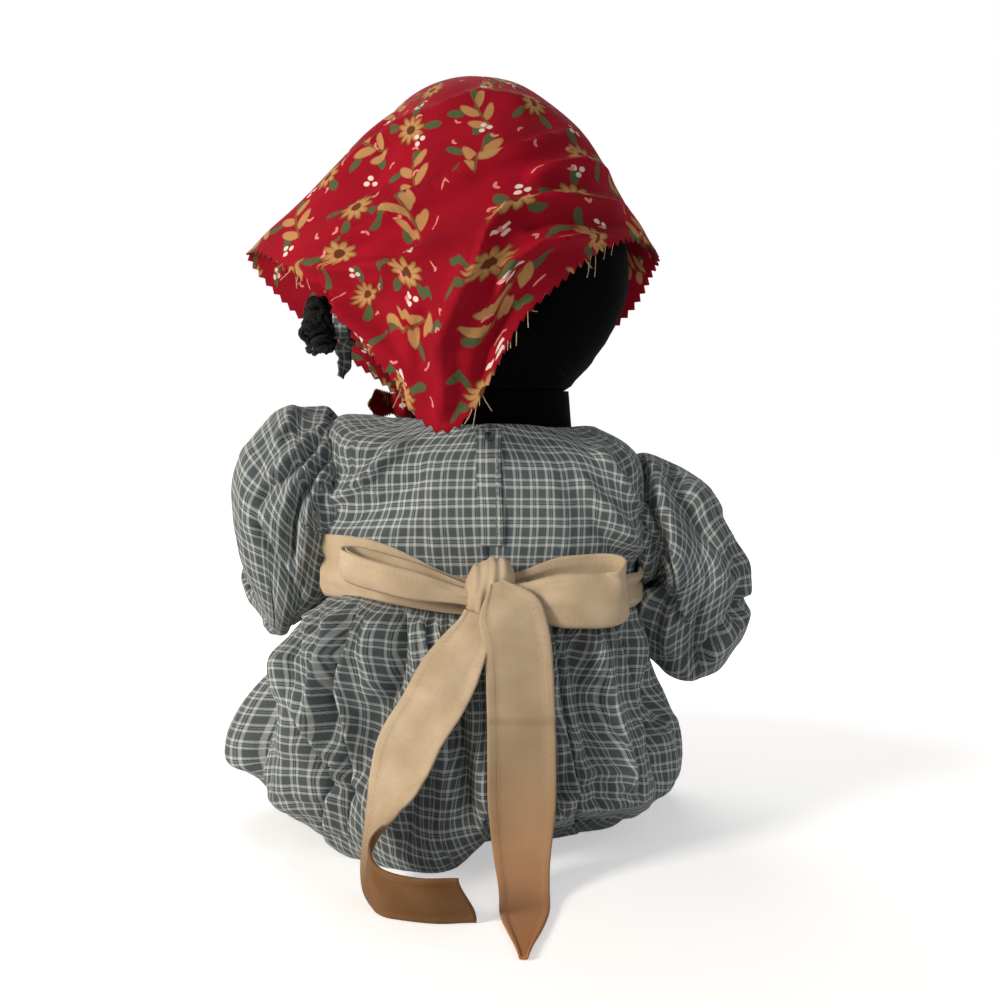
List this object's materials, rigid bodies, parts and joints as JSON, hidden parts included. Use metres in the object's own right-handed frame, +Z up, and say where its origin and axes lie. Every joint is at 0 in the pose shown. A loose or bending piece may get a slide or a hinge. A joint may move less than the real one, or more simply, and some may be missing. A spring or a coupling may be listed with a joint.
{
  "type": "cloth doll",
  "caption": "Seated stuffed cloth doll in a plaid dress with a half apron tied in a bow behind and a red kerchief over pigtails; its head and limbs turn on sewn joints.",
  "frame": {"origin": "on the floor under the seat, at the middle of the skirt's tucked-under bottom, below the neck axis", "axes": "+Z up, +Y the way the doll's body faces, +X towards its right hand"},
  "size_m": [0.2244, 0.3816, 0.3202],
  "materials": {
    "black_cloth": "brushed black cotton, matt",
    "filling": "white polyester fibre filling",
    "plaid_cotton": "slate plaid woven cotton, soft and washed",
    "muslin": "unbleached muslin, stitched along its edges",
    "red_cotton": "dark red printed cotton with pinked edges",
    "yarn": "black looped yarn",
    "button": "brown wooden button, satin",
    "thread": "dull red sewing thread",
    "snap_metal": "small dark press stud"
  },
  "bodies": {
    "doll_body": {"torso_skin": "black_cloth", "torso_filling": "filling", "bodice_front": "plaid_cotton", "bodice_back_right": "plaid_cotton", "bodice_back_left": "plaid_cotton", "back_placket": "plaid_cotton", "neck_snap": "snap_metal", "skirt": "plaid_cotton", "apron_panel": "muslin", "apron_waistband": "muslin", "bow_knot": "muslin", "bow_loop_right": "muslin", "bow_loop_left": "muslin", "sash_tail_right": "muslin", "sash_tail_left": "muslin"},
    "head": {"head_skin": "black_cloth", "head_filling": "filling", "eye_button_right": "button", "eye_button_left": "button", "mouth_stitch": "thread", "pigtail_right": "yarn", "pigtail_left": "yarn", "pigtail_tie_right": "plaid_cotton", "pigtail_tie_left": "plaid_cotton", "kerchief": "red_cotton", "kerchief_knot": "red_cotton"},
    "upper_arm_right": {"upper_arm_skin_right": "black_cloth", "upper_arm_filling_right": "filling", "sleeve_right": "plaid_cotton"},
    "forearm_right": {"forearm_skin_right": "black_cloth", "forearm_filling_right": "filling", "sleeve_cuff_right": "plaid_cotton"},
    "leg_right": {"leg_skin_right": "black_cloth", "leg_filling_right": "filling"},
    "upper_arm_left": {"upper_arm_skin_left": "black_cloth", "upper_arm_filling_left": "filling", "sleeve_left": "plaid_cotton"},
    "forearm_left": {"forearm_skin_left": "black_cloth", "forearm_filling_left": "filling", "sleeve_cuff_left": "plaid_cotton"},
    "leg_left": {"leg_skin_left": "black_cloth", "leg_filling_left": "filling"}
  },
  "joints": [
    {"name": "head_turn", "type": "hinge", "parent": "doll_body", "child": "head", "pos_m": [0, 0, 0.1864], "axis": [0, 0, 1], "range_deg": [-25, 12]},
    {"name": "shoulder_right", "type": "hinge", "parent": "doll_body", "child": "upper_arm_right", "pos_m": [0.0544, 0, 0.135], "axis": [1, 0, 0], "range_deg": [-5, 40]},
    {"name": "elbow_right", "type": "hinge", "parent": "upper_arm_right", "child": "forearm_right", "pos_m": [0.09338, 0.00791, 0.09497], "axis": [0.9848, 0, 0.1736], "range_deg": [-8, 30], "deforming": ["sleeve_right"]},
    {"name": "hip_right", "type": "hinge", "parent": "doll_body", "child": "leg_right", "pos_m": [0.031, 0.044, 0.0222], "axis": [0, 0, -1], "range_deg": [-5, 10]},
    {"name": "shoulder_left", "type": "hinge", "parent": "doll_body", "child": "upper_arm_left", "pos_m": [-0.0544, 0, 0.135], "axis": [1, 0, 0], "range_deg": [-5, 40]},
    {"name": "elbow_left", "type": "hinge", "parent": "upper_arm_left", "child": "forearm_left", "pos_m": [-0.08986, 0.00791, 0.11159], "axis": [0.8829, 0, -0.4695], "range_deg": [-8, 30], "deforming": ["sleeve_left"]},
    {"name": "hip_left", "type": "hinge", "parent": "doll_body", "child": "leg_left", "pos_m": [-0.031, 0.044, 0.0222], "axis": [0, 0, 1], "range_deg": [-5, 10]}
  ]
}
